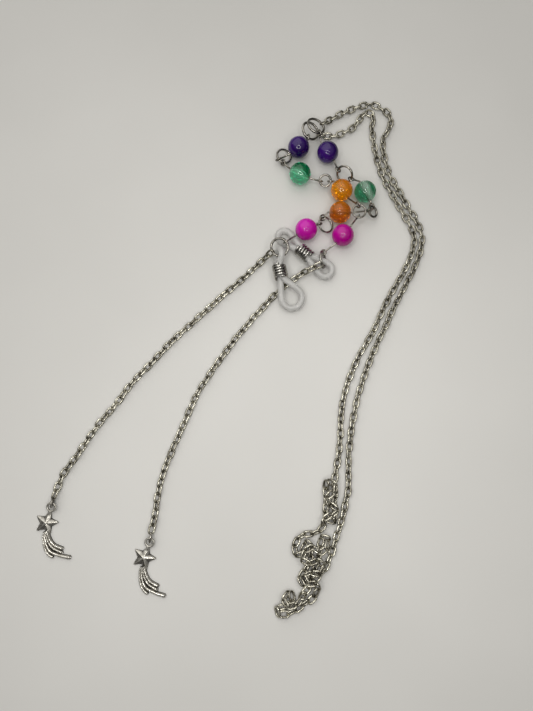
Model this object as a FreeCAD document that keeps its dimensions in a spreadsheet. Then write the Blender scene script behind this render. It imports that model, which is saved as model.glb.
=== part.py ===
import FreeCAD, Part
import math
import os
import Sketcher

# A beaded eyeglass retainer chain, lying loosely on a table.
# Units are millimetres, +Z is up and the table is z = 0. The origin is on the table, under the middle
# of the two bead strands, their rings and their rubber temple loops.

V = FreeCAD.Vector
UP = V(0, 0, 1)

doc = FreeCAD.newDocument("eyeglass_retainer")
sheet = doc.addObject("Spreadsheet::Sheet", "dimensions")

DIMENSIONS = {
    "bead_radius": 3.95,
    "bead_bore": 0.45,
    "pin_wire": 0.3,
    "pin_core": 8.7,
    "eye_radius": 1.0,
    "ring_wire": 0.35,
    "big_ring_wire": 0.4,
    "neck_chain_radius": 1.2,
    "charm_chain_radius": 1.05,
    "rubber_radius": 1.2,
    "rubber_neck_radius": 1.8,
    "rubber_neck_length": 7.6,
    "coil_bore": 1.9,
    "coil_valley": 2.2,
    "coil_radius": 2.6,
    "coil_length": 5.8,
    "star_radius": 3.9,
    "charm_thickness": 1.6,
    "charm_eye_radius": 1.1,
}
for row, (alias, value) in enumerate(DIMENSIONS.items(), start=1):
    sheet.set(f"A{row}", alias)
    sheet.set(f"B{row}", str(value))
    sheet.setAlias(f"B{row}", alias)
doc.recompute()


def dim(alias):
    return float(sheet.get(alias))


def unit(vector):
    return vector * (1 / vector.Length)


def plan(heading):
    """The level unit vector at a heading, in degrees from +X towards +Y."""
    return V(math.cos(math.radians(heading)), math.sin(math.radians(heading)), 0)


def direction(heading, pitch):
    """The unit vector at a heading, rising by pitch degrees."""
    rise = math.radians(pitch)
    return plan(heading) * math.cos(rise) + UP * math.sin(rise)


def frame(x_axis, near_y, position):
    """A Placement whose X is x_axis and whose Y is near_y made square to it."""
    x_axis = unit(x_axis)
    y_axis = unit(near_y - x_axis * near_y.dot(x_axis))
    return FreeCAD.Placement(position, FreeCAD.Rotation(x_axis, y_axis, x_axis.cross(y_axis), "XYZ"))


def along(axis, position):
    """A Placement whose Z points along axis."""
    return FreeCAD.Placement(position, FreeCAD.Rotation(UP, unit(axis)))


# ---------------------------------------------------------------- simple solids

def add(kind, label, placement, **bound):
    """A Part primitive whose sizes are expressions of the sheet."""
    item = doc.addObject(kind, label)
    item.Label = label
    for name, expression in bound.items():
        item.setExpression(name, expression)
    item.Placement = placement
    return item


def rod(label, start, end, radius):
    item = add("Part::Cylinder", label, along(end - start, start), Radius=radius)
    item.Height = (end - start).Length
    return item


def ball(label, centre, radius):
    return add("Part::Sphere", label, FreeCAD.Placement(centre, FreeCAD.Rotation()), Radius=radius)


def hoop(label, centre, normal, radius, wire):
    """A closed ring of round wire. radius is its centre line's, as a number or a sheet expression."""
    item = add("Part::Torus", label, along(normal, centre), Radius2=wire)
    if isinstance(radius, str):
        item.setExpression("Radius1", radius)
    else:
        item.Radius1 = radius
    return item


def fuse(label, pieces):
    item = doc.addObject("Part::MultiFuse", label)
    item.Label = label
    item.Shapes = pieces
    return item


# ---------------------------------------------------------------- rings
# A ring's circle is centre + radius * (cos(a) * long + sin(a) * wide). long is level or pitched along
# heading, and wide leans up from level by lean. A hook is an angle a at which another piece holds it.

class Ring:
    def __init__(self, name, centre, heading, pitch, lean, radius, wire, hooks):
        self.name = name
        self.centre = V(*centre)
        self.long = direction(heading, pitch)
        level = unit(UP.cross(self.long))
        raised = self.long.cross(level)
        tilt = math.radians(lean)
        self.wide = level * math.cos(tilt) + raised * math.sin(tilt)
        self.radius = radius
        self.wire = wire
        self.hooks = hooks

    def at(self, key):
        angle = math.radians(self.hooks[key])
        return self.centre + (self.long * math.cos(angle) + self.wide * math.sin(angle)) * self.radius

    def tangent(self, key):
        angle = math.radians(self.hooks[key])
        return self.wide * math.cos(angle) - self.long * math.sin(angle)

    def build(self):
        return hoop(self.name, self.centre, self.long.cross(self.wide), self.radius, self.wire)


def eye(label, ring, key, start, wire, radius):
    """An eye of wire round a ring's hook, on a straight stem from start."""
    centre = ring.at(key)
    stem = unit(centre - start)
    tangent = ring.tangent(key)
    normal = unit(tangent - stem * tangent.dot(stem))
    return [
        hoop(label + "_eye", centre, normal, radius, wire),
        rod(label + "_stem", start, centre - stem * dim("eye_radius"), wire),
    ]


RINGS = [
    Ring("top_ring_left", (-4.6, 31.9, 3.3), 0, -28, 0, 3.3, "dimensions.big_ring_wire",
         {"upper": 350, "lower": 247}),
    Ring("top_ring_right", (-2.6, 33.2, 4.4), 0, -23, -13, 3.3, "dimensions.big_ring_wire",
         {"upper": 35, "lower": 285}),
    Ring("ring_purple_green_left", (-14.5, 22.5, 1.75), 0, -20, 0, 2.7, "dimensions.ring_wire",
         {"upper": 218, "lower": 262}),
    Ring("ring_green_amber_left", (0.5, 11.7, 3.7), 2, 0, 24, 2.0, "dimensions.ring_wire",
         {"upper": 182, "lower": 350}),
    Ring("ring_amber_pink_left", (12.2, -1.2, 5.7), 0, 0, 8, 2.3, "dimensions.ring_wire",
         {"upper": 100, "lower": 255}),
    Ring("ring_purple_green_right", (7.6, 14.0, 4.0), -37, 0, 58, 3.0, "dimensions.ring_wire",
         {"upper": 180, "lower": 0}),
    Ring("ring_green_amber_right", (17.6, -0.2, 3.2), 90, 0, 35, 2.0, "dimensions.ring_wire",
         {"upper": 10, "lower": 95}),
    Ring("ring_amber_pink_right", (0.5, -4.8, 2.0), 0, -25.6, 0, 2.8, "dimensions.ring_wire",
         {"upper": 115, "lower": 184}),
    Ring("end_ring_left", (-16.3, -14.4, 4.7), -4.9, -13.1, 13.2, 3.1, "dimensions.big_ring_wire",
         {"upper": 49, "rubber": 262, "charm": 218}),
    Ring("end_ring_right", (-0.9, -18.5, 3.4), 87.5, -0.5, 70.3, 2.9, "dimensions.big_ring_wire",
         {"upper": 349, "rubber": 190, "charm": 146}),
]
ring_named = {ring.name: ring for ring in RINGS}
for ring in RINGS:
    ring.build()

# ---------------------------------------------------------------- beads and their pins
# name, middle of the bead, heading of the bore towards the temple loops, rise, ring above, ring below

BEADS = [
    ("purple_left", (-9.1, 24.8), 220, 0, "top_ring_left", "ring_purple_green_left"),
    ("green_left", (-8.7, 14.3), 330, 4, "ring_purple_green_left", "ring_green_amber_left"),
    ("amber_left", (6.4, 7.8), 307, 0, "ring_green_amber_left", "ring_amber_pink_left"),
    ("pink_left", (6.4, -9.6), 230, 0, "ring_amber_pink_left", "end_ring_right"),
    ("purple_right", (1.6, 22.8), 302, 0, "top_ring_right", "ring_purple_green_right"),
    ("green_right", (14.9, 7.2), 295, 0, "ring_purple_green_right", "ring_green_amber_right"),
    ("amber_right", (5.6, -0.9), 179, 0, "ring_green_amber_right", "ring_amber_pink_right"),
    ("pink_right", (-6.7, -7.4), 211, 0, "ring_amber_pink_right", "end_ring_left"),
]


def sketch_on(body, name, role):
    plane = [f for f in body.Origin.OriginFeatures if f.Role == role][0]
    sketch = body.newObject("Sketcher::SketchObject", name)
    sketch.AttachmentSupport = [(plane, "")]
    sketch.MapMode = "FlatFace"
    return sketch


def bind(sketch, constraint, alias):
    """Adds a named driving constraint and ties it to a cell of the sheet."""
    index = sketch.addConstraint(constraint)
    sketch.renameConstraint(index, alias)
    sketch.setExpression(f"Constraints.{alias}", f"dimensions.{alias}")


def revolve(body, sketch, axis):
    turn = body.newObject("PartDesign::Revolution", body.Name + "_turn")
    turn.Profile = sketch
    turn.ReferenceAxis = (sketch, [axis])
    turn.Angle = 360
    return turn


def bead(label, placement):
    """A round bead, turned about its own bore, which runs along X."""
    body = doc.addObject("PartDesign::Body", label)
    body.Label = label
    sketch = sketch_on(body, label + "_profile", "XY_Plane")
    radius = dim("bead_radius")
    bore = dim("bead_bore")
    half = math.sqrt(radius * radius - bore * bore)
    start = math.atan2(bore, half)
    arc = sketch.addGeometry(Part.ArcOfCircle(Part.Circle(V(0, 0, 0), UP, radius), start, math.pi - start))
    wall = sketch.addGeometry(Part.LineSegment(V(-half, bore, 0), V(half, bore, 0)))
    origin = (-1, 1)
    sketch.addConstraint(Sketcher.Constraint("Coincident", arc, 3, *origin))
    sketch.addConstraint(Sketcher.Constraint("Coincident", arc, 2, wall, 1))
    sketch.addConstraint(Sketcher.Constraint("Coincident", arc, 1, wall, 2))
    sketch.addConstraint(Sketcher.Constraint("Horizontal", wall))
    bind(sketch, Sketcher.Constraint("Radius", arc, radius), "bead_radius")
    bind(sketch, Sketcher.Constraint("DistanceY", -1, 1, wall, 1, bore), "bead_bore")
    body.Tip = revolve(body, sketch, "H_Axis")
    body.Placement = placement
    return body


def pin(label, centre, axis, above, below):
    """A straight wire through the bead, bent outside it to an eye on each neighbouring ring."""
    reach = axis * (dim("pin_core") / 2)
    top = centre - reach
    bottom = centre + reach
    wire = "dimensions.pin_wire"
    pieces = [rod(label + "_core", top, bottom, wire)]
    for name, start, ring, key in (("top", top, above, "lower"), ("foot", bottom, below, "upper")):
        pieces.append(ball(f"{label}_{name}_bend", start, wire))
        pieces += eye(f"{label}_{name}", ring, key, start, wire, "dimensions.eye_radius")
    return fuse(label, pieces)


for name, middle, heading, pitch, above, below in BEADS:
    centre = V(middle[0], middle[1], dim("bead_radius") + 0.05)
    axis = direction(heading, pitch)
    bead("bead_" + name, frame(axis, UP, centre))
    pin("pin_" + name, centre, axis, ring_named[above], ring_named[below])

# ---------------------------------------------------------------- rubber temple loops and their coils


def lobe(label, apex, axis, roll, distance, radius, tube):
    """A round loop of rubber whose two legs run back to an apex. The loop's plane holds axis."""
    level = unit(UP.cross(axis))
    across = level * math.cos(math.radians(roll)) + axis.cross(level) * math.sin(math.radians(roll))
    middle = apex + axis * distance
    spread = math.degrees(math.acos(radius / distance))
    placement = frame(-axis, across, middle)
    placement = placement.multiply(FreeCAD.Placement(V(), FreeCAD.Rotation(UP, spread)))
    arc = add("Part::Torus", label + "_arc", placement, Radius2=tube)
    arc.Radius1 = radius
    arc.Angle3 = 360 - 2 * spread
    pieces = [arc]
    turn = math.radians(spread)
    for side, sign in (("one", 1), ("two", -1)):
        tangent_point = middle - axis * (radius * math.cos(turn)) + across * (sign * radius * math.sin(turn))
        pieces.append(rod(f"{label}_leg_{side}", apex, tangent_point, tube))
    pieces.append(ball(label + "_apex", apex, tube))
    return pieces


class Connector:
    def __init__(self, side, centre, heading, pitch, coil_shift, ring_lobe, temple_lobe):
        self.side = side
        self.centre = V(*centre)
        self.axis = direction(heading, pitch)
        self.coil_shift = coil_shift
        self.ring_lobe = ring_lobe
        self.temple_lobe = temple_lobe

    def build(self):
        half = self.axis * (dim("rubber_neck_length") / 2)
        label = "rubber_loop_" + self.side
        pieces = [rod(label + "_neck", self.centre - half, self.centre + half, "dimensions.rubber_neck_radius")]
        for name, end, lobe_data in (("ring", -1, self.ring_lobe), ("temple", 1, self.temple_lobe)):
            heading, pitch, roll, distance, radius = lobe_data
            apex = self.centre + half * end
            pieces += lobe(f"{label}_{name}", apex, direction(heading, pitch), roll, distance, radius,
                           "dimensions.rubber_radius")
        fuse(label, pieces)
        coil("coil_" + self.side, frame(self.axis, UP, self.centre + self.axis * self.coil_shift))


def coil(label, placement):
    """Five close turns of wire, as a ribbed sleeve turned about X."""
    body = doc.addObject("PartDesign::Body", label)
    body.Label = label
    sketch = sketch_on(body, label + "_profile", "XY_Plane")
    turns = 5
    length = dim("coil_length")
    pitch = length / turns
    valley = dim("coil_valley")
    crest = dim("coil_radius")
    bore = dim("coil_bore")
    for turn in range(turns):
        start = -length / 2 + turn * pitch
        sketch.addGeometry(Part.Arc(V(start, valley, 0), V(start + pitch / 2, crest, 0),
                                    V(start + pitch, valley, 0)))
    corners = [V(length / 2, valley, 0), V(length / 2, bore, 0), V(-length / 2, bore, 0),
               V(-length / 2, valley, 0)]
    for a, b in zip(corners, corners[1:]):
        sketch.addGeometry(Part.LineSegment(a, b))
    body.Tip = revolve(body, sketch, "H_Axis")
    body.Placement = placement
    return body


CONNECTORS = [
    Connector("left", (-16.2, -23.3, 4.0), -80.2, 10.6, 0.2, (84.3, 8.1, -62.8, 2.7, 2.3), (-57.2, -16.6, 1.9, 6.8, 3.8)),
    Connector("right", (-7.4, -15.9, 3.0), 136.1, -5.9, 0, (-36.3, -10.4, 3.3, 5.8, 2.7), (136.5, -9.2, -2.1, 6.3, 2.4)),
]
for connector in CONNECTORS:
    connector.build()

# ---------------------------------------------------------------- free chains, as plain tubes


def rounded_wire(points):
    """Straight runs joined by tangent arcs, each as large as its two runs allow."""
    share = 0.45
    edges = []
    here = points[0]
    for before, corner, after in zip(points, points[1:], points[2:]):
        into = unit(corner - before)
        out = unit(after - corner)
        trim = share * min((corner - before).Length, (after - corner).Length)
        turn = into.getAngle(out)
        start = corner - into * trim
        end = corner + out * trim
        bisector = unit(out - into)
        radius = trim / math.tan(turn / 2)
        centre = corner + bisector * (radius / math.cos(turn / 2))
        middle = centre - bisector * radius
        edges.append(Part.LineSegment(here, start).toShape())
        edges.append(Part.Arc(start, middle, end).toShape())
        here = end
    edges.append(Part.LineSegment(here, points[-1]).toShape())
    return Part.Wire(edges)


def tube(label, points, radius):
    """A round tube along a route, checked against its section times its length."""
    path = rounded_wire(points)
    first = unit(points[1] - points[0])
    section = Part.Wire([Part.Circle(points[0], first, radius).toShape()])
    solid = path.makePipeShell([section], True, False)
    wanted = math.pi * radius * radius * path.Length
    if abs(solid.Volume - wanted) > 0.02 * wanted:
        raise RuntimeError(f"{label}: tube volume {solid.Volume:.1f}, wanted {wanted:.1f}")
    radii = [edge.Curve.Radius for edge in path.Edges if hasattr(edge.Curve, "Radius")]
    print(f"{label}: length {path.Length:.1f} mm, tightest bend {min(radii):.2f} mm")
    item = doc.addObject("Part::Feature", label + "_tube")
    item.Shape = solid
    return item


def level(points, height):
    """Points at a height, except where a point has a height of its own."""
    return [V(x, y, own[0] if own else height) for x, y, *own in points]


def chain(label, points, radius, ends):
    """A chain's tube with an eye at each end that is named with its ring and hook."""
    pieces = [tube(label, points, radius)]
    for name, start, ring, key in ends:
        pieces += eye(f"{label}_{name}", ring, key, start, "dimensions.pin_wire", "dimensions.eye_radius")
    return fuse(label, pieces)


NECK_HEIGHT = 1.3
# from the left top ring, down the inner side of the doubled run, to the bunch
NECK_LEFT_RUN = [
    (1.3, 31.2), (4.6, 30.9), (8.6, 32.6), (12.4, 34.9), (14.6, 38.7), (17.4, 41.3), (20.0, 38.9),
    (18.7, 34.5), (19.0, 30.1), (19.7, 25.3), (21.9, 14.2), (26.6, 4.9), (32.0, -5.7), (33.2, -10.7),
    (29.6, -20.3), (23.5, -30.3), (19.6, -37.7), (16.2, -45.1), (10.8, -53.9), (8.6, -59.1),
    (6.4, -64.1), (4.4, -73.3), (4.2, -81.1), (3.4, -88.7), (1.6, -95.9),
]
# from the right top ring, round the outside, and down past the bunch to its far end
NECK_RIGHT_RUN = [
    (2.3, 37.2), (5.6, 39.2), (10.0, 41.6), (15.0, 43.7), (19.4, 44.5), (23.1, 42.4), (25.7, 39.6),
    (26.3, 36.5), (25.0, 33.6), (22.9, 30.2), (22.4, 25.5), (24.6, 14.9), (29.2, 6.2), (34.6, -4.5),
    (36.0, -10.9), (32.2, -21.5), (26.2, -31.8), (22.5, -39.3), (19.0, -46.4), (14.8, -55.1),
    (11.7, -63.3), (9.2, -72.3), (7.4, -81.3), (6.6, -89.9), (6.6, -98.5), (5.2, -102.9),
    (4.1, -108.3), (2.5, -112.3), (1.1, -117.1), (-0.7, -121.3), (-2.8, -125.1), (-9.0, -131.1),
]
CHARM_HEIGHT = 1.1
CHARM_LEFT_RUN = [
    (-21.9, -17.5, 1.3), (-25.0, -20.6), (-32.0, -27.1), (-39.8, -34.1), (-46.8, -40.9), (-54.4, -47.9),
    (-61.1, -55.5), (-67.8, -62.7), (-73.3, -70.7), (-79.5, -78.0), (-84.7, -86.6), (-89.4, -93.3),
    (-91.1, -97.7),
]
CHARM_RIGHT_RUN = [
    (-6.0, -22.6, 4.2), (-8.6, -23.6, 1.9), (-12.6, -25.9), (-17.0, -29.7), (-21.4, -34.7), (-28.6, -42.7),
    (-35.0, -50.9), (-40.2, -58.6), (-45.6, -67.3), (-49.0, -76.3), (-53.0, -85.1), (-56.0, -94.1),
    (-57.5, -100.1), (-58.0, -107.9),
]

charm_rings = {
    "left": Ring("charm_ring_left", (-91.9, -101.4, 1.9), 262, 0, 80, 1.5, "dimensions.pin_wire",
                 {"chain": 180, "charm": 0}),
    "right": Ring("charm_ring_right", (-58.6, -112.0, 1.9), 262, 0, 80, 1.5, "dimensions.pin_wire",
                  {"chain": 180, "charm": 0}),
}

neck_radius = dim("neck_chain_radius")
left_points = level(NECK_LEFT_RUN, NECK_HEIGHT)
right_points = level(NECK_RIGHT_RUN, NECK_HEIGHT)
chain("neck_chain_left_run", left_points, neck_radius,
      [("start", left_points[0], ring_named["top_ring_left"], "upper")])
chain("neck_chain_right_run", right_points, neck_radius,
      [("start", right_points[0], ring_named["top_ring_right"], "upper")])
for side, run in (("left", CHARM_LEFT_RUN), ("right", CHARM_RIGHT_RUN)):
    points = level(run, CHARM_HEIGHT)
    chain("charm_chain_" + side, points, dim("charm_chain_radius"),
          [("start", points[0], ring_named["end_ring_" + side], "charm"),
           ("end", points[-1], charm_rings[side], "chain")])
    charm_rings[side].build()

# the scrunched middle of the neck chain, as three mounds and a link: centre, half sizes, heading
MOUNDS = {
    "upper": ((0.4, -101.7), (7.4, 3.2, 2.7), 90),
    "middle": ((-8.0, -120.3), (9.6, 5.4, 2.7), 80),
    "end": ((-12.0, -133.9), (7.2, 4.8, 2.7), 10),
}
LINKING_RUN = [(0.0, -107.1), (-1.6, -110.3), (-4.6, -112.1), (-7.2, -114.7)]
for name, (middle, halves, heading) in MOUNDS.items():
    mound = doc.addObject("Part::Ellipsoid", "neck_chain_bunch_" + name)
    mound.Radius1 = halves[2]
    mound.Radius2 = halves[0]
    mound.Radius3 = halves[1]
    mound.Placement = frame(plan(heading), UP.cross(plan(heading)), V(middle[0], middle[1], halves[2] + 0.1))
link = tube("neck_chain_bunch_link", level(LINKING_RUN, NECK_HEIGHT), neck_radius)
link.Label = "neck_chain_bunch_link"

# ---------------------------------------------------------------- shooting-star charms
# Drawn flat with the longest ray of the tail along +X and the star's middle at the origin.

TAIL = [
    (2.0, 1.6), (6.0, 1.5), (10.2, 1.4), (10.3, 0.7), (13.0, 0.5), (13.0, -0.5), (10.0, -1.2),
    (10.0, -2.0), (9.4, -2.6), (9.2, -4.4), (8.2, -4.6), (5.0, -3.4), (2.4, -3.0),
]
FIRST_TIP = 49
INNER_SHARE = 0.5
EYE_HEADING = 122


def pad_outline(body, name, points):
    sketch = sketch_on(body, name, "XY_Plane")
    corners = [V(x, y, 0) for x, y in points]
    for a, b in zip(corners, corners[1:] + corners[:1]):
        sketch.addGeometry(Part.LineSegment(a, b))
    pad = body.newObject("PartDesign::Pad", name + "_pad")
    pad.Profile = sketch
    pad.setExpression("Length", "dimensions.charm_thickness")
    return pad


def star_outline():
    points = []
    for step in range(10):
        angle = math.radians(FIRST_TIP + 36 * step)
        reach = dim("star_radius") * (1 if step % 2 == 0 else INNER_SHARE)
        points.append((reach * math.cos(angle), reach * math.sin(angle)))
    return points


def charm(side, middle, heading):
    label = "charm_" + side
    body = doc.addObject("PartDesign::Body", label + "_casting")
    pad_outline(body, label + "_star", star_outline())
    pad_outline(body, label + "_tail", TAIL)
    base = V(middle[0], middle[1], 0.05)
    body.Placement = frame(plan(heading), UP.cross(plan(heading)), base)
    star_middle = base + UP * (dim("charm_thickness") / 2)
    start = star_middle + plan(heading + EYE_HEADING) * (dim("star_radius") * 0.6)
    pieces = [body] + eye(label, charm_rings[side], "charm", start, "dimensions.pin_wire",
                          "dimensions.charm_eye_radius")
    fuse(label, pieces)


charm("left", (-94.2, -109.3), 313.5)
charm("right", (-61.3, -120.3), 307)

# ---------------------------------------------------------------- checks and export

doc.recompute()
SIDES = ("left", "right")
NODES = [ring.name for ring in RINGS]
NODES += [kind + name for name, *_ in BEADS for kind in ("bead_", "pin_")]
NODES += [kind + side for side in SIDES
          for kind in ("rubber_loop_", "coil_", "charm_chain_", "charm_ring_", "charm_")]
NODES += ["neck_chain_left_run", "neck_chain_right_run"]
NODES += ["neck_chain_bunch_" + name for name in (*MOUNDS, "link")]

for item in doc.Objects:
    if "Invalid" in item.State or "Error" in item.State:
        raise RuntimeError(f"{item.Label}: {item.State}")
os.makedirs("parts", exist_ok=True)
by_label = {item.Label: item for item in doc.Objects}
for name in NODES:
    shape = by_label[name].Shape
    if shape.isNull() or not shape.isValid():
        raise RuntimeError(f"{name}: no valid shape")
for name in NODES:
    by_label[name].Shape.exportStep(f"parts/{name}.step")
print(len(NODES), "parts written")
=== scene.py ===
import math
import random

import bmesh
import bpy
from mathutils import Matrix, Vector


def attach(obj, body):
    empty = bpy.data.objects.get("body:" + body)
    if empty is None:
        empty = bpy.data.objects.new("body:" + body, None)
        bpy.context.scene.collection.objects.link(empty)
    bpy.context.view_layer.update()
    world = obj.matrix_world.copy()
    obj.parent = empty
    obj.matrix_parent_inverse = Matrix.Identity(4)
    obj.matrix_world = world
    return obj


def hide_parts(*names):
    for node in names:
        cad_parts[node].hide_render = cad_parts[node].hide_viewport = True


# A beaded eyeglass retainer chain, lying loosely on a pale table. Routes and places are in millimetres
# in the frame's own axes, and mm() turns them into metres.

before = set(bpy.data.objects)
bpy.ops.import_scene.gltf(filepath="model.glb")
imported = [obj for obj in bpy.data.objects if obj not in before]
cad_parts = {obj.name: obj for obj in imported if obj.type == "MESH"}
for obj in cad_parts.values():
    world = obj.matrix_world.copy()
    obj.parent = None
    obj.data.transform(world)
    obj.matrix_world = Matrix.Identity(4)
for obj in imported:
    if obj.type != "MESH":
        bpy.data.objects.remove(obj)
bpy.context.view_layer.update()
MM = 0.001
UP = Vector((0, 0, 1))
rng = random.Random(7)


def mm(*values):
    return Vector(values) * MM


def plan(heading):
    return Vector((math.cos(math.radians(heading)), math.sin(math.radians(heading)), 0))


def direction(heading, pitch):
    rise = math.radians(pitch)
    return plan(heading) * math.cos(rise) + UP * math.sin(rise)


def axes(x_axis, near_y):
    """The rotation whose X is x_axis and whose Y is near_y made square to it."""
    x_axis = x_axis.normalized()
    y_axis = (near_y - x_axis * near_y.dot(x_axis)).normalized()
    return Matrix((x_axis, y_axis, x_axis.cross(y_axis))).transposed()


# ---------------------------------------------------------------- materials

class Nodes:
    """A material's node tree, with short calls for the nodes that this scene uses."""

    def __init__(self, name):
        self.material = bpy.data.materials.new(name)
        self.material.use_nodes = True
        self.tree = self.material.node_tree
        self.shader = self.tree.nodes["Principled BSDF"]
        self.place = self.add("ShaderNodeTexCoord").outputs["Object"]

    def add(self, kind, **values):
        node = self.tree.nodes.new(kind)
        for key, value in values.items():
            setattr(node, key, value)
        return node

    def link(self, output, target):
        self.tree.links.new(output, target)

    def noise(self, scale, detail=4.0, rough=0.5):
        node = self.add("ShaderNodeTexNoise")
        node.inputs["Scale"].default_value = scale
        node.inputs["Detail"].default_value = detail
        node.inputs["Roughness"].default_value = rough
        self.link(self.place, node.inputs["Vector"])
        return node.outputs["Fac"]

    def ramp(self, factor, stops):
        node = self.add("ShaderNodeValToRGB")
        line = node.color_ramp
        while len(line.elements) < len(stops):
            line.elements.new(0.5)
        for element, (position, colour) in zip(line.elements, stops):
            element.position = position
            element.color = (*colour, 1)
        self.link(factor, node.inputs["Fac"])
        return node.outputs["Color"]

    def span(self, factor, low, high):
        node = self.add("ShaderNodeMapRange")
        node.inputs["To Min"].default_value = low
        node.inputs["To Max"].default_value = high
        self.link(factor, node.inputs["Value"])
        return node.outputs["Result"]

    def attribute(self, name):
        node = self.add("ShaderNodeAttribute")
        node.attribute_name = name
        return node.outputs["Fac"]

    def mix(self, factor, low, high):
        node = self.add("ShaderNodeMix", data_type="RGBA")
        self.link(factor, node.inputs["Factor"])
        for socket, value in ((node.inputs[6], low), (node.inputs[7], high)):
            if isinstance(value, tuple):
                socket.default_value = (*value, 1)
            else:
                self.link(value, socket)
        return node.outputs[2]

    def bump(self, height, strength, distance):
        node = self.add("ShaderNodeBump")
        node.inputs["Strength"].default_value = strength
        node.inputs["Distance"].default_value = distance
        self.link(height, node.inputs["Height"])
        self.link(node.outputs["Normal"], self.shader.inputs["Normal"])

    def set(self, **values):
        for key, value in values.items():
            self.shader.inputs[key.replace("_", " ")].default_value = value


def plated_metal(name, light, dark, roughness, grain):
    """Bright plating with soft grey patches, fine scratches and a little unevenness."""
    m = Nodes(name)
    patches = m.noise(420, 5)
    m.link(m.ramp(patches, [(0.32, dark), (0.62, light)]), m.shader.inputs["Base Color"])
    m.link(m.span(m.noise(1500, 3), roughness * 0.6, roughness * 1.5), m.shader.inputs["Roughness"])
    m.bump(m.noise(2600, 4, 0.6), grain, 0.00004)
    m.set(Metallic=1.0)
    return m.material


def bead_glass(name, stops, clear):
    """A see-through coloured bead: colour that runs across it, with painted shade and painted glow of
    light through the glass, faint flow lines and a polished face.
    """
    m = Nodes(name)
    flow = m.span(m.noise(230, 3, 0.45), -0.22, 0.22)
    # the across value picks the bead's colour from the ramp, and with it the painted shade and painted
    # glow, from one side of the bead to the other
    total = m.add("ShaderNodeMath", operation="ADD")
    m.link(m.attribute("across"), total.inputs[0])
    m.link(flow, total.inputs[1])
    m.link(m.ramp(total.outputs[0], stops), m.shader.inputs["Base Color"])
    m.link(m.span(m.noise(900, 2), 0.02, 0.06), m.shader.inputs["Roughness"])
    m.bump(m.noise(420, 2), 0.06, 0.00005)
    m.set(IOR=1.5, Transmission_Weight=clear, Specular_IOR_Level=0.45)
    return m.material


def milky_rubber():
    """Clear soft rubber, a little cloudy."""
    m = Nodes("rubber")
    colour = m.ramp(m.noise(260, 4), [(0.3, (0.65, 0.645, 0.63)), (0.7, (0.77, 0.765, 0.75))])
    m.link(colour, m.shader.inputs["Base Color"])
    m.link(m.span(m.noise(1400, 3), 0.3, 0.42), m.shader.inputs["Roughness"])
    m.bump(m.noise(700, 3), 0.08, 0.00005)
    m.set(IOR=1.41, Transmission_Weight=0.46)
    return m.material


def antique_metal():
    """Cast metal whose hollows, named by the recess attribute, are dark and whose ridges are rubbed."""
    m = Nodes("charm_casting")
    recess = m.attribute("recess")
    wear = m.ramp(m.noise(900, 5, 0.6), [(0.3, (0.28, 0.265, 0.23)), (0.65, (0.78, 0.76, 0.70))])
    m.link(m.mix(recess, wear, (0.05, 0.045, 0.038)), m.shader.inputs["Base Color"])
    m.link(m.span(recess, 0.26, 0.6), m.shader.inputs["Roughness"])
    m.bump(m.noise(1500, 5, 0.65), 0.35, 0.00008)
    m.set(Metallic=1.0)
    return m.material


def paper_table():
    m = Nodes("table")
    colour = m.ramp(m.noise(9, 3), [(0.3, (0.58, 0.575, 0.555)), (0.7, (0.63, 0.625, 0.605))])
    m.link(colour, m.shader.inputs["Base Color"])
    m.bump(m.noise(700, 4), 0.08, 0.0001)
    m.set(Roughness=0.75)
    return m.material


RING_METAL = plated_metal("ring_metal", (0.38, 0.365, 0.33), (0.11, 0.10, 0.085), 0.2, 0.2)
PIN_METAL = plated_metal("pin_metal", (0.38, 0.36, 0.32), (0.11, 0.10, 0.08), 0.22, 0.25)
COIL_METAL = plated_metal("coil_metal", (0.56, 0.55, 0.52), (0.24, 0.23, 0.21), 0.16, 0.15)
CHAIN_METAL = plated_metal("chain_metal", (0.56, 0.54, 0.46), (0.14, 0.128, 0.10), 0.2, 0.3)
CASTING = antique_metal()
RUBBER = milky_rubber()
# each bead's colour, with painted shade and painted glow of light through the glass, running from one
# side of its bore to the other, and how see-through it is
PURPLE_AND_GLOW = [(0.2, (0.017, 0.002, 0.08)), (0.8, (0.045, 0.006, 0.17))]
BEAD_COLOURS_AND_GLOW = {
    "purple_left": (PURPLE_AND_GLOW, 0.2),
    "purple_right": (PURPLE_AND_GLOW, 0.2),
    "green_left": ([(0.42, (0.0, 0.27, 0.10)), (0.64, (0.30, 0.95, 0.60))], 0.75),
    "green_right": (
        [(0.28, (0.03, 0.32, 0.15)), (0.5, (0.74, 0.88, 0.78)), (0.72, (0.03, 0.30, 0.14))], 0.75),
    "amber_left": ([(0.2, (0.90, 0.33, 0.004)), (0.8, (0.98, 0.45, 0.01))], 0.7),
    "amber_right": ([(0.2, (0.60, 0.17, 0.004)), (0.8, (0.80, 0.28, 0.01))], 0.7),
    "pink_right": ([(0.2, (0.55, 0.004, 0.36)), (0.8, (0.70, 0.012, 0.52))], 0.25),
    "pink_left": ([(0.2, (0.42, 0.0, 0.24)), (0.8, (0.58, 0.004, 0.36))], 0.25),
}


# ---------------------------------------------------------------- mesh helpers


def mesh_object(name, vertices, faces, material, smooth=True):
    mesh = bpy.data.meshes.new(name)
    mesh.from_pydata([tuple(v) for v in vertices], [], faces)
    mesh.materials.append(material)
    mesh.validate()
    if smooth:
        mesh.polygons.foreach_set("use_smooth", [True] * len(mesh.polygons))
    mesh.update()
    thing = bpy.data.objects.new(name, mesh)
    bpy.context.scene.collection.objects.link(thing)
    return thing


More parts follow.
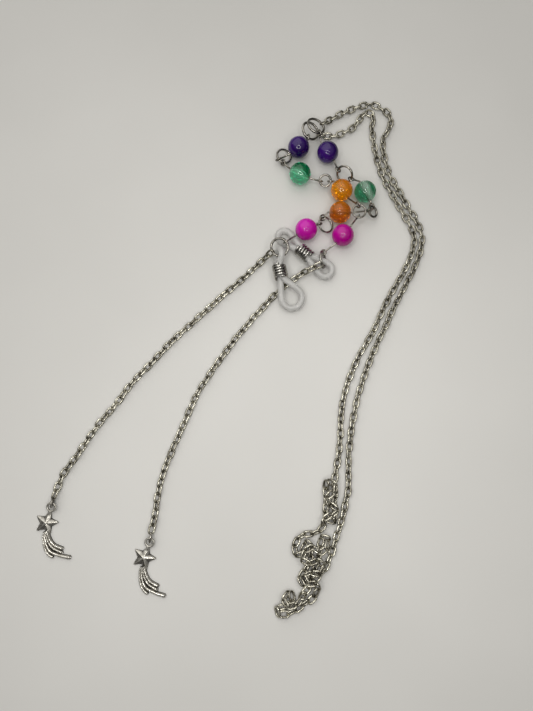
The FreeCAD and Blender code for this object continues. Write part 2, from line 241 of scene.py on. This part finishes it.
def sweep(points, radius, sides, closed):
    """Vertices and faces of a round section carried along points without twisting."""
    count = len(points)
    tangents = []
    for i in range(count):
        before = points[(i - 1) % count] if closed or i > 0 else points[i]
        after = points[(i + 1) % count] if closed or i < count - 1 else points[i]
        tangents.append((after - before).normalized())
    side = tangents[0].orthogonal().normalized()
    vertices = []
    for i, (point, tangent) in enumerate(zip(points, tangents)):
        side = (side - tangent * side.dot(tangent)).normalized()
        over = tangent.cross(side)
        for k in range(sides):
            turn = 2 * math.pi * k / sides
            vertices.append(point + (side * math.cos(turn) + over * math.sin(turn)) * radius)
    faces = []
    for i in range(count if closed else count - 1):
        j = (i + 1) % count
        shift = closest_shift(vertices, i, j, sides) if closed and j == 0 else 0
        for k in range(sides):
            n = (k + 1) % sides
            faces.append((i * sides + k, i * sides + n,
                          j * sides + (n + shift) % sides, j * sides + (k + shift) % sides))
    if not closed:
        faces.append(tuple(reversed(range(sides))))
        faces.append(tuple(range((count - 1) * sides, count * sides)))
    return vertices, faces


def closest_shift(vertices, i, j, sides):
    """How far section j is turned against section i, in vertices, where a closed sweep meets itself."""
    start = vertices[i * sides]
    return min(range(sides), key=lambda k: (vertices[j * sides + k] - start).length)


class Builder:
    """Collects several swept or placed pieces into one mesh."""

    def __init__(self):
        self.vertices = []
        self.faces = []

    def add(self, part, place=None):
        vertices, faces = part
        base = len(self.vertices)
        self.vertices += [place @ v for v in vertices] if place else list(vertices)
        self.faces += [tuple(base + index for index in face) for face in faces]

    def build(self, name, material):
        return mesh_object(name, self.vertices, self.faces, material)


# ---------------------------------------------------------------- chains of oval links

LINK_LENGTH = 4.0 * MM
LINK_WIDTH = 2.7 * MM
LINK_WIRE = 0.38 * MM
LINK_PITCH = 2.5 * MM
LINK_STEPS = 10
LINK_SIDES = 8
# every second link leans this many degrees out of level, and those between are square to it
LINK_LEAN = 42
LINK_LEAN_SPREAD = 9
LINK_SWAY = 0.12
# a shorter level direction than this means that the chain runs straight up
LEVEL_LENGTH = 0.1


def oval_link():
    """A closed oval of round wire, its length along X, in the XY plane."""
    half = LINK_LENGTH / 2 - LINK_WIRE
    round_part = LINK_WIDTH / 2 - LINK_WIRE
    straight = half - round_part
    points = []
    for end in (1, -1):
        for k in range(LINK_STEPS + 1):
            turn = math.pi * (k / LINK_STEPS - 0.5)
            points.append(Vector((end * (straight + round_part * math.cos(turn)),
                                  end * round_part * math.sin(turn), 0)))
    return sweep(points, LINK_WIRE, LINK_SIDES, True)


LINK = oval_link()


def spline_points(name, route):
    """Points along the smooth line that has the route as its control points."""
    line = bpy.data.curves.new(name + "_line", "CURVE")
    line.dimensions = "3D"
    spline = line.splines.new("NURBS")
    spline.points.add(len(route) - 1)
    for point, place in zip(spline.points, route):
        point.co = (*place, 1)
    spline.order_u = 3
    spline.use_endpoint_u = True
    spline.resolution_u = 24
    holder = bpy.data.objects.new(name + "_line", line)
    bpy.context.scene.collection.objects.link(holder)
    bpy.context.view_layer.update()
    mesh = bpy.data.meshes.new_from_object(holder)
    points = [v.co.copy() for v in mesh.vertices]
    bpy.data.objects.remove(holder)
    bpy.data.meshes.remove(mesh)
    return points


def run_length(points):
    return sum((b - a).length for a, b in zip(points, points[1:]))


def stations(points, pitch):
    """Places about a pitch apart along a line, each with the direction there."""
    total = run_length(points)
    count = max(2, round(total / pitch))
    step = total / count
    places = []
    travelled = 0
    wanted = step / 2
    for a, b in zip(points, points[1:]):
        span = (b - a).length
        while wanted <= travelled + span and len(places) < count:
            places.append((a + (b - a) * ((wanted - travelled) / span), (b - a).normalized()))
            wanted += step
        travelled += span
    return places


def link_chain(name, points):
    """Oval links along a line, each turned across its neighbours."""
    chain = Builder()
    for index, (place, heading) in enumerate(stations(points, LINK_PITCH)):
        level = UP.cross(heading)
        level = level.normalized() if level.length > LEVEL_LENGTH else Vector((1, 0, 0))
        lean = LINK_LEAN if index % 2 else LINK_LEAN - 90
        turn = math.radians(lean + rng.uniform(-LINK_LEAN_SPREAD, LINK_LEAN_SPREAD))
        wide = level * math.cos(turn) + heading.cross(level) * math.sin(turn)
        sway = level * rng.uniform(-LINK_SWAY, LINK_SWAY) * MM
        chain.add(LINK, Matrix.Translation(place + sway) @ axes(heading, wide).to_4x4())
    return chain.build(name, CHAIN_METAL)


def route(points, height):
    return [mm(x, y, own[0] if own else height) for x, y, *own in points]


NECK_HEIGHT = 1.3
NECK_LEFT_RUN = [
    (-1.73, 31.33, 1.78), (1.3, 31.2), (4.6, 30.9), (8.6, 32.6), (12.4, 34.9), (14.6, 38.7),
    (17.4, 41.3), (20.0, 38.9), (18.7, 34.5), (19.0, 30.1), (19.7, 25.3), (21.9, 14.2), (26.6, 4.9),
    (32.0, -5.7), (33.2, -10.7), (29.6, -20.3), (23.5, -30.3), (19.6, -37.7), (16.2, -45.1),
    (10.8, -53.9), (8.6, -59.1), (6.4, -64.1), (4.4, -73.3), (4.2, -81.1), (3.4, -88.7), (1.6, -95.9),
]
NECK_RIGHT_RUN = [
    (-0.28, 35.04, 2.95), (2.3, 37.2, 1.6), (5.6, 39.2), (10.0, 41.6), (15.0, 43.7), (19.4, 44.5),
    (23.1, 42.4), (25.7, 39.6), (26.3, 36.5), (25.0, 33.6), (22.9, 30.2), (22.4, 25.5), (24.6, 14.9),
    (29.2, 6.2), (34.6, -4.5), (36.0, -10.9), (32.2, -21.5), (26.2, -31.8), (22.5, -39.3),
    (19.0, -46.4), (14.8, -55.1), (11.7, -63.3), (9.2, -72.3), (7.4, -81.3), (6.6, -89.9), (6.6, -98.5),
    (5.2, -102.9), (4.1, -108.3), (2.5, -112.3), (1.1, -117.1), (-0.7, -121.3), (-2.8, -125.1),
    (-9.0, -131.1),
]
CHARM_HEIGHT = 1.1
CHARM_LEFT_RUN = [
    (-18.93, -16.04, 4.83), (-21.9, -17.5, 1.3), (-25.0, -20.6), (-32.0, -27.1), (-39.8, -34.1),
    (-46.8, -40.9), (-54.4, -47.9), (-61.1, -55.5), (-67.8, -62.7), (-73.3, -70.7), (-79.5, -78.0),
    (-84.7, -86.6), (-89.4, -93.3), (-91.1, -97.7), (-92.0, -101.1, 1.9),
]
CHARM_RIGHT_RUN = [
    (-1.55, -20.86, 4.95), (-6.0, -22.6, 4.2), (-8.6, -23.6, 1.9), (-12.6, -25.9), (-17.0, -29.7),
    (-21.4, -34.7), (-28.6, -42.7), (-35.0, -50.9), (-40.2, -58.6), (-45.6, -67.3), (-49.0, -76.3),
    (-53.0, -85.1), (-56.0, -94.1), (-57.5, -100.1), (-58.0, -107.9), (-59.0, -112.3, 1.9),
]
# the scrunched middle of the neck chain: three heaps of folded loops, with one strand between two of them
BUNCH_ROUTE = [
    (1.6, -95.9, 1.3), (2.0, -99.3, 1.3), (1.5, -103.0, 1.3), (2.2, -106.6, 1.3), (1.4, -108.9, 1.4),
    (-1.0, -108.3, 1.5), (-1.5, -105.0, 1.3), (-0.7, -101.6, 1.3), (-1.2, -98.2, 1.4),
    (-0.8, -95.9, 2.4), (1.3, -96.2, 3.8), (2.0, -98.6, 3.9), (-0.6, -100.4, 3.9), (-1.0, -102.6, 3.9),
    (1.6, -103.8, 3.9), (1.8, -106.0, 3.8), (-0.8, -106.6, 3.9), (-2.4, -108.2, 3.2),
    (-2.0, -110.3, 1.6), (-4.2, -112.0, 1.3), (-6.4, -112.6, 1.3), (-9.4, -112.9, 1.3),
    (-11.6, -115.6, 1.3), (-11.8, -118.6, 1.4), (-9.6, -119.6, 1.4), (-8.9, -116.8, 1.4),
    (-7.0, -115.2, 1.4), (-6.2, -118.0, 1.3), (-6.8, -121.4, 1.3), (-8.4, -124.2, 1.3),
    (-10.2, -126.6, 1.3), (-8.9, -128.4, 1.4), (-7.0, -126.6, 1.4), (-5.2, -123.6, 1.3),
    (-3.7, -120.2, 1.3), (-3.6, -116.8, 1.3), (-2.6, -113.9, 1.5), (-0.9, -114.0, 1.9),
    (-1.2, -116.4, 3.4), (-3.6, -118.4, 3.9), (-6.0, -116.2, 3.9), (-8.6, -117.6, 3.9),
    (-9.4, -120.4, 3.7), (-6.9, -121.6, 3.9), (-4.2, -120.4, 3.9), (-2.4, -122.4, 3.6),
    (-4.0, -124.8, 3.8), (-6.8, -124.2, 3.9), (-9.2, -125.6, 3.7), (-7.9, -127.8, 3.9),
    (-5.2, -127.6, 3.9), (-4.4, -130.2, 1.7), (-6.0, -132.8, 1.4), (-8.6, -134.2, 1.3),
    (-11.4, -136.2, 1.3), (-14.4, -137.6, 1.3), (-17.8, -137.4, 1.3), (-17.2, -135.4, 1.4),
    (-14.6, -135.2, 1.3), (-12.6, -133.6, 1.3), (-13.0, -131.2, 1.4), (-15.0, -131.6, 1.6),
    (-15.4, -133.8, 3.2), (-13.2, -134.8, 3.8), (-10.6, -133.4, 3.8), (-9.6, -131.8, 3.0),
    (-9.0, -131.1, 1.3),
]


def free_chain(name, body, points, replaced):
    line = spline_points(name, points)
    piece = link_chain(name, line)
    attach(piece, body)
    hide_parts(*replaced)


free_chain("left_neck_links", "root", route(NECK_LEFT_RUN, NECK_HEIGHT),
           ["neck_chain_left_run"])
free_chain("right_neck_links", "root", route(NECK_RIGHT_RUN, NECK_HEIGHT),
           ["neck_chain_right_run"])
free_chain("bunched_neck_links", "root", route(BUNCH_ROUTE, NECK_HEIGHT),
           ["neck_chain_bunch_" + name for name in ("upper", "middle", "end", "link")])

# ---------------------------------------------------------------- wire rings and pins

# how much thicker the drawn wire is than the frame's; two rings and the pins have little room round them
RING_PLATING = 0.06 * MM
CLOSE_RING_PLATING = 0.012 * MM
PIN_PLATING = 0.01 * MM
SEAM = 0.001 * MM


def plated_wire(name, material, plating):
    """The frame's own wire with its seams joined and a coat of plating over it."""
    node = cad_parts[name]
    mesh = node.data.copy()
    mesh.transform(node.matrix_world)
    work = bmesh.new()
    work.from_mesh(mesh)
    bmesh.ops.remove_doubles(work, verts=work.verts, dist=SEAM)
    work.normal_update()
    for vertex in work.verts:
        vertex.co += vertex.normal * plating
    vertices = [vertex.co.copy() for vertex in work.verts]
    faces = [tuple(vertex.index for vertex in face.verts) for face in work.faces]
    work.free()
    piece = mesh_object("plated_" + name, vertices, faces, material)
    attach(piece, name)
    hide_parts(name)


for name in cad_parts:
    if name.startswith(("top_ring", "ring_", "end_ring")):
        thin = name.startswith("ring_amber_pink")
        plated_wire(name, RING_METAL, CLOSE_RING_PLATING if thin else RING_PLATING)
    elif name.startswith("pin_"):
        plated_wire(name, PIN_METAL, PIN_PLATING)

# ---------------------------------------------------------------- beads

BEAD_RADIUS = 3.95
BEAD_BORE = 0.5
BEAD_LIP = 0.16
BEAD_HEIGHT = 4.0
BEAD_ROWS = 40
BORE_ROWS = 12
BEAD_SIDES = 64
# each bead's middle, the heading of its bore and how far the bore tips up
BEADS = {
    "purple_left": ((-9.1, 24.8), 220, 0),
    "green_left": ((-8.7, 14.3), 330, 4),
    "amber_left": ((6.4, 7.8), 307, 0),
    "pink_left": ((6.4, -9.6), 230, 0),
    "purple_right": ((1.6, 22.8), 302, 0),
    "green_right": ((14.9, 7.2), 295, 0),
    "amber_right": ((5.6, -0.9), 179, 0),
    "pink_right": ((-6.7, -7.4), 211, 0),
}


def bead_shape():
    """A polished round bead turned about X, with a soft lip where its bore comes out."""
    start = math.asin((BEAD_BORE + BEAD_LIP) / BEAD_RADIUS)
    profile = []
    for k in range(BEAD_ROWS + 1):
        turn = start + (math.pi - 2 * start) * k / BEAD_ROWS
        profile.append((BEAD_RADIUS * math.cos(turn), BEAD_RADIUS * math.sin(turn)))
    end = BEAD_RADIUS * math.cos(start)
    mouth = (end - BEAD_LIP * 0.25, BEAD_BORE + BEAD_LIP * 0.4)
    half_bore = end - BEAD_LIP
    profile.append((-mouth[0], mouth[1]))
    profile += [(-half_bore + 2 * half_bore * k / BORE_ROWS, BEAD_BORE) for k in range(BORE_ROWS + 1)]
    profile.append(mouth)
    vertices = []
    for x, r in profile:
        for k in range(BEAD_SIDES):
            turn = 2 * math.pi * k / BEAD_SIDES
            vertices.append(mm(x, r * math.cos(turn), r * math.sin(turn)))
    faces = []
    for i in range(len(profile)):
        a = i * BEAD_SIDES
        b = (i + 1) % len(profile) * BEAD_SIDES
        for k in range(BEAD_SIDES):
            n = (k + 1) % BEAD_SIDES
            faces.append((a + k, b + k, b + n, a + n))
    return vertices, faces


BEAD = bead_shape()
for name, (middle, heading, pitch) in BEADS.items():
    bead = Builder()
    place = Matrix.Translation(mm(*middle, BEAD_HEIGHT)) @ axes(direction(heading, pitch), UP).to_4x4()
    bead.add(BEAD, place)
    piece = bead.build("round_bead_" + name, bead_glass("bead_" + name, *BEAD_COLOURS_AND_GLOW[name]))
    # how far across the bead each point lies, which places the painted shade and painted glow of the
    # bead's colour ramp
    layer = piece.data.attributes.new("across", "FLOAT", "POINT")
    layer.data.foreach_set("value", [0.5 + v.z / (2 * BEAD_RADIUS * MM) for v in BEAD[0]])
    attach(piece, "bead_" + name)
    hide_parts("bead_" + name)

# ---------------------------------------------------------------- rubber temple loops and their coils

RUBBER_RADIUS = 1.08
NECK_HALF = 3.8
STRAND_OFFSET = 0.75
NECK_STEPS = (-0.7, -0.35, 0, 0.35, 0.7)
LOBE_STEPS = 28
RUBBER_STEP = 0.5 * MM
RUBBER_ROUNDS = 6
RUBBER_SIDES = 20
# the coil's middle, the heading and pitch of its axis and its shift along that; then, for the loop on the
# end ring and the loop for the temple, heading, pitch, roll, distance from the neck and radius
CONNECTORS = {
    "left": ((-16.2, -23.3, 4.0), -80.2, 10.6, 0.2,
             (84.3, 8.1, -62.8, 2.7, 2.3), (-57.2, -16.6, 1.9, 6.8, 3.8)),
    "right": ((-7.4, -15.9, 3.0), 136.1, -5.9, 0,
              (-36.3, -10.4, 3.3, 5.8, 2.7), (136.5, -9.2, -2.1, 6.3, 2.4)),
}


def lobe_line(apex, heading, pitch, roll, distance, radius):
    """The middle line of one loop: out along one leg, round the arc and back along the other."""
    axis = direction(heading, pitch)
    level = UP.cross(axis).normalized()
    across = level * math.cos(math.radians(roll)) + axis.cross(level) * math.sin(math.radians(roll))
    middle = apex + axis * distance
    spread = math.acos(radius / distance)
    points = []
    for k in range(LOBE_STEPS + 1):
        turn = spread + (2 * math.pi - 2 * spread) * k / LOBE_STEPS
        points.append(middle + (across * math.sin(turn) - axis * math.cos(turn)) * radius)
    return points, across


def smoothed(points, rounds):
    """A closed line with its corners eased, by moving each point towards its neighbours' middle."""
    for _ in range(rounds):
        count = len(points)
        points = [(points[i - 1] + points[i] * 2 + points[(i + 1) % count]) / 4 for i in range(count)]
    return points


def even_steps(points, step):
    """The closed line again, with points a step apart."""
    ring = points + [points[0]]
    return [place for place, _ in stations(ring, step)]


def rubber_loop(side):
    centre, heading, pitch, _, ring_lobe, temple_lobe = CONNECTORS[side]
    axis = direction(heading, pitch)
    centre = Vector(centre)
    ring_points, across = lobe_line(centre - axis * NECK_HALF, *ring_lobe)
    temple_points, _ = lobe_line(centre + axis * NECK_HALF, *temple_lobe)
    if (ring_points[0] - ring_points[-1]).dot(temple_points[-1] - temple_points[0]) < 0:
        ring_points.reverse()
    offset = ring_points[-1] - ring_points[0]
    offset = (offset - axis * offset.dot(axis)).normalized() * STRAND_OFFSET
    line = list(ring_points)
    line += [centre + axis * share * NECK_HALF + offset for share in NECK_STEPS]
    line += temple_points
    line += [centre + axis * share * NECK_HALF - offset for share in reversed(NECK_STEPS)]
    line = smoothed(even_steps([p * MM for p in line], RUBBER_STEP), RUBBER_ROUNDS)
    tube = Builder()
    tube.add(sweep(line, RUBBER_RADIUS * MM, RUBBER_SIDES, True))
    piece = tube.build(f"soft_loop_{side}", RUBBER)
    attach(piece, "rubber_loop_" + side)
    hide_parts("rubber_loop_" + side)


COIL_TURNS = 5
COIL_WIRE = 0.46
COIL_CENTRE_RADIUS = 2.14
COIL_PITCH = 1.06
COIL_STEPS = 28
COIL_SIDES = 12
COIL_TUCK = 0.25
# the share of the wire at each end that turns in is one over this
TUCK_RATE = 18


def wire_coil(side):
    """Close turns of round wire, each end tucked in against the rubber."""
    centre, heading, pitch, shift, *_ = CONNECTORS[side]
    axis = direction(heading, pitch)
    place = Matrix.Translation((Vector(centre) + axis * shift) * MM) @ axes(axis, UP).to_4x4()
    steps = COIL_TURNS * COIL_STEPS
    points = []
    for k in range(steps + 1):
        share = k / steps
        turn = 2 * math.pi * COIL_TURNS * share
        tuck = COIL_TUCK * max(0, 1 - min(share, 1 - share) * TUCK_RATE)
        radius = COIL_CENTRE_RADIUS - tuck
        points.append(mm((share - 0.5) * COIL_TURNS * COIL_PITCH, radius * math.cos(turn),
                         radius * math.sin(turn)))
    coil = Builder()
    coil.add(sweep(points, COIL_WIRE * MM, COIL_SIDES, False), place)
    piece = coil.build(f"wound_coil_{side}", COIL_METAL)
    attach(piece, "coil_" + side)
    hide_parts("coil_" + side)


for side in CONNECTORS:
    rubber_loop(side)
    wire_coil(side)

# ---------------------------------------------------------------- shooting-star charms

STAR_RADIUS = 4.3
STAR_INNER = 0.5
FIRST_TIP = 49
CHARM_TOP = 1.65
CHARM_RIM = 0.55
# each ray of the tail: the points that its middle line curves by, and its half width
RIBS = [
    ([(2.0, -1.2), (4.4, -2.3), (7.2, -2.6), (10.4, -1.2)], 0.55),
    ([(2.0, -1.5), (4.2, -3.0), (7.5, -3.5), (11.2, -2.1)], 0.5),
    ([(1.9, -1.8), (3.9, -3.6), (7.5, -4.8), (11.0, -3.4), (14.2, -1.1)], 0.62),
    ([(1.8, -2.2), (3.2, -3.8), (5.9, -5.4), (8.4, -5.8), (10.1, -5.3)], 0.55),
]

# the star's middle, the charm's heading and the middle of its jump ring
CHARMS = {
    "left": ((-94.2, -109.3), 313.5, (-92.2, -102.6, 1.9)),
    "right": ((-61.3, -120.3), 307, (-59.2, -113.8, 1.9)),
}
CHARM_RING_HEADING = 262
CHARM_RING_RADIUS = 1.5
CHARM_RING_WIRE = 0.36
CHARM_RING_ROLL = 80
CHARM_RING_STEPS = 48
CHARM_RING_SIDES = 14
LOOP_STEPS = 32
LOOP_SIDES = 12
STEM_STEPS = 12
STEM_STEP = 0.12
LOOP_RADIUS = 1.35
LOOP_WIRE = 0.36
STEM_WIRE = 0.5
LOOP_RECESS = 0.25


def star_reach(turn):
    """The star's outline at an angle from its first tip, with the tips a little rounded."""
    share = (turn / (2 * math.pi) * 5) % 1
    away = abs(share - 0.5) * 2
    half = math.pi / 5
    inner = STAR_RADIUS * STAR_INNER
    angle = half * (1 - away)
    tip = Vector((STAR_RADIUS, 0))
    hollow = Vector((inner * math.cos(half), inner * math.sin(half)))
    edge = hollow - tip
    ray = Vector((math.cos(angle), math.sin(angle)))
    reach = (tip.x * edge.y - tip.y * edge.x) / (ray.x * edge.y - ray.y * edge.x)
    rounding = 0.28 * max(0, away - 0.86) / 0.14
    return reach - rounding


def star_mesh():
    """A puffed five-pointed star with a ridge to each tip, flat below, and its recess weights."""
    around = 140
    rows = 12
    vertices = []
    recess = []
    for side in (1, -1):
        for row in range(rows + 1):
            share = row / rows
            for k in range(around):
                turn = 2 * math.pi * k / around
                reach = star_reach(turn) * share
                angle = turn + math.radians(FIRST_TIP)
                puff = (1 - share ** 1.25) * (CHARM_TOP - CHARM_RIM)
                height = CHARM_RIM + puff if side > 0 else 0.05
                vertices.append(mm(reach * math.cos(angle), reach * math.sin(angle), height))
                hollow = 1 - abs((turn / (2 * math.pi) * 5) % 1 - 0.5) * 2
                recess.append(min(1, hollow ** 2 * share * 1.1 + max(0, share - 0.9) * 4))
    faces = []
    layer = (rows + 1) * around
    for row in range(rows):
        for k in range(around):
            n = (k + 1) % around
            a, b = row * around, (row + 1) * around
            faces.append((a + k, b + k, b + n, a + n))
            faces.append((layer + a + n, layer + b + n, layer + b + k, layer + a + k))
    rim = rows * around
    for k in range(around):
        n = (k + 1) % around
        faces.append((rim + k, layer + rim + k, layer + rim + n, rim + n))
    return vertices, faces, recess


def eased(points, steps):
    """Points along a smooth line through a few given ones."""
    ends = [points[0] * 2 - points[1]] + points + [points[-1] * 2 - points[-2]]
    line = []
    for before, a, b, after in zip(ends, ends[1:], ends[2:], ends[3:]):
        for k in range(steps):
            t = k / steps
            line.append(((a * 2) + (b - before) * t + (before * 2 - a * 5 + b * 4 - after) * t * t
                         + (a * 3 - before - b * 3 + after) * t ** 3) / 2)
    return line + [points[-1]]


def rib_mesh(points, radius):
    """One ray of the tail: round on top, flat below, with a blunt rounded end."""
    line = eased([Vector((*p, 0)) for p in points], 9)
    sides = 14
    last = len(line) - 1
    vertices = []
    recess = []
    for k, place in enumerate(line):
        along = (line[min(k + 1, last)] - line[max(k - 1, 0)]).normalized()
        across = UP.cross(along)
        share = k / last
        blunt = math.sqrt(max(0.02, 1 - max(0, share - 0.96) ** 2 / 0.04 ** 2))
        width = radius * (0.8 + 0.35 * share) * blunt
        crest = (1.35 - 0.25 * share) * blunt
        for s in range(sides):
            turn = math.pi * s / (sides - 1)
            point = place + across * math.cos(turn) * width
            vertices.append(mm(point.x, point.y, 0.08 + crest * math.sin(turn)))
            recess.append(min(1, abs(math.cos(turn)) ** 3))
    faces = []
    for k in range(last):
        for s in range(sides):
            n = (s + 1) % sides
            faces.append((k * sides + s, k * sides + n, (k + 1) * sides + n, (k + 1) * sides + s))
    faces.append(tuple(range(sides)))
    faces.append(tuple(reversed(range(last * sides, (last + 1) * sides))))
    return vertices, faces, recess


def charm_ring(side):
    ring_centre = Vector(CHARMS[side][2]) * MM
    along = plan(CHARM_RING_HEADING)
    tilt = math.radians(CHARM_RING_ROLL)
    across = UP.cross(along) * math.cos(tilt) + UP * math.sin(tilt)
    turns = [2 * math.pi * k / CHARM_RING_STEPS for k in range(CHARM_RING_STEPS)]
    line = [ring_centre + (along * math.cos(t) + across * math.sin(t)) * CHARM_RING_RADIUS * MM
            for t in turns]
    ring = Builder()
    ring.add(sweep(line, CHARM_RING_WIRE * MM, CHARM_RING_SIDES, True))
    piece = ring.build("jump_ring_" + side, RING_METAL)
    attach(piece, "charm_ring_" + side)
    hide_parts("charm_ring_" + side)
    return piece


def charm(side):
    middle, heading, ring_centre = CHARMS[side]
    place = Matrix.Translation(mm(*middle, 0)) @ Matrix.Rotation(math.radians(heading), 4, "Z")
    casting = Builder()
    recess = []
    for part in [star_mesh()] + [rib_mesh(*rib) for rib in RIBS]:
        vertices, faces, weights = part
        casting.add((vertices, faces), place)
        recess += weights
    hook = Vector(ring_centre) + plan(CHARM_RING_HEADING) * CHARM_RING_RADIUS
    body = Vector((*middle, 0.95))
    reach = (body - hook).normalized()
    normal = reach.cross(UP).normalized()
    loop = [hook * MM + (reach * math.cos(t) + normal * math.sin(t)) * LOOP_RADIUS * MM
            for t in [2 * math.pi * k / LOOP_STEPS for k in range(LOOP_STEPS)]]
    stem = [hook * MM + reach * (LOOP_RADIUS + k * STEM_STEP) * MM for k in range(STEM_STEPS)]
    for part in (sweep(loop, LOOP_WIRE * MM, LOOP_SIDES, True),
                 sweep(stem, STEM_WIRE * MM, LOOP_SIDES, False)):
        casting.add(part)
        recess += [LOOP_RECESS] * len(part[0])
    piece = casting.build("star_charm_" + side, CASTING)
    layer = piece.data.attributes.new("recess", "FLOAT", "POINT")
    layer.data.foreach_set("value", recess)
    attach(piece, "charm_" + side)
    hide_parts("charm_" + side)
    return piece


for side, run in (("left", CHARM_LEFT_RUN), ("right", CHARM_RIGHT_RUN)):
    star = charm(side)
    ring = charm_ring(side)
    free_chain(f"{side}_charm_links", "charm_chain_" + side, route(run, CHARM_HEIGHT),
               ["charm_chain_" + side])

# ---------------------------------------------------------------- table, light and camera

FLOOR_HALF = 2.0
floor = mesh_object("table_top", [(-FLOOR_HALF, -FLOOR_HALF, 0), (FLOOR_HALF, -FLOOR_HALF, 0),
                                  (FLOOR_HALF, FLOOR_HALF, 0), (-FLOOR_HALF, FLOOR_HALF, 0)],
                    [(0, 1, 2, 3)], paper_table(), smooth=False)

LOOK_AT = mm(-21, -52.7, 0)


def area_light(name, place, size, power, colour):
    data = bpy.data.lights.new(name, "AREA")
    data.shape = "RECTANGLE"
    data.size, data.size_y = size
    data.energy = power
    data.color = colour
    lamp = bpy.data.objects.new(name, data)
    lamp.location = place
    lamp.rotation_mode = "QUATERNION"
    lamp.rotation_quaternion = (LOOK_AT - Vector(place)).to_track_quat("-Z", "Y")
    bpy.context.scene.collection.objects.link(lamp)


area_light("ceiling", (-0.35, 0.5, 0.8), (1.6, 1.6), 7.0, (1.0, 0.98, 0.94))
# a ring of small lamps round the lens, which shows as a small ring in the middle of each bead
LAMPS = 12
LAMP_CIRCLE = 70 * MM
LAMP_MIDDLE = LOOK_AT + mm(0, -33, 185)
LAMP_SIZE = (0.016, 0.016)
for k in range(LAMPS):
    spot = plan(360 * k / LAMPS) * LAMP_CIRCLE
    area_light(f"ring_lamp_{k}", LAMP_MIDDLE + spot, LAMP_SIZE, 0.016, (1.0, 0.985, 0.96))


def room_light():
    """A pale ceiling that fades to dim walls, for soft light from above and dark edges in the metal."""
    world = bpy.data.worlds.new("room")
    world.use_nodes = True
    tree = world.node_tree
    place = tree.nodes.new("ShaderNodeTexCoord")
    split = tree.nodes.new("ShaderNodeSeparateXYZ")
    fade = tree.nodes.new("ShaderNodeValToRGB")
    tree.links.new(place.outputs["Generated"], split.inputs["Vector"])
    tree.links.new(split.outputs["Z"], fade.inputs["Fac"])
    tree.links.new(fade.outputs["Color"], tree.nodes["Background"].inputs["Color"])
    fade.color_ramp.elements[0].position = 0.3
    fade.color_ramp.elements[0].color = (0.04, 0.04, 0.04, 1)
    fade.color_ramp.elements[1].position = 0.85
    fade.color_ramp.elements[1].color = (1.0, 0.98, 0.94, 1)
    tree.nodes["Background"].inputs["Strength"].default_value = 0.5
    bpy.context.scene.world = world


room_light()

CAMERA_DISTANCE = 188 * MM
CAMERA_ELEVATION = 80
lens = bpy.data.cameras.new("camera")
lens.sensor_width = 36
lens.lens = 27.04
lens.clip_start = 0.01
lens.clip_end = 10
camera = bpy.data.objects.new("camera", lens)
camera.location = LOOK_AT - direction(90, -CAMERA_ELEVATION) * CAMERA_DISTANCE
camera.rotation_euler = (math.radians(90 - CAMERA_ELEVATION), 0, 0)
bpy.context.scene.collection.objects.link(camera)
bpy.context.scene.camera = camera
bpy.context.scene.view_settings.view_transform = "Standard"
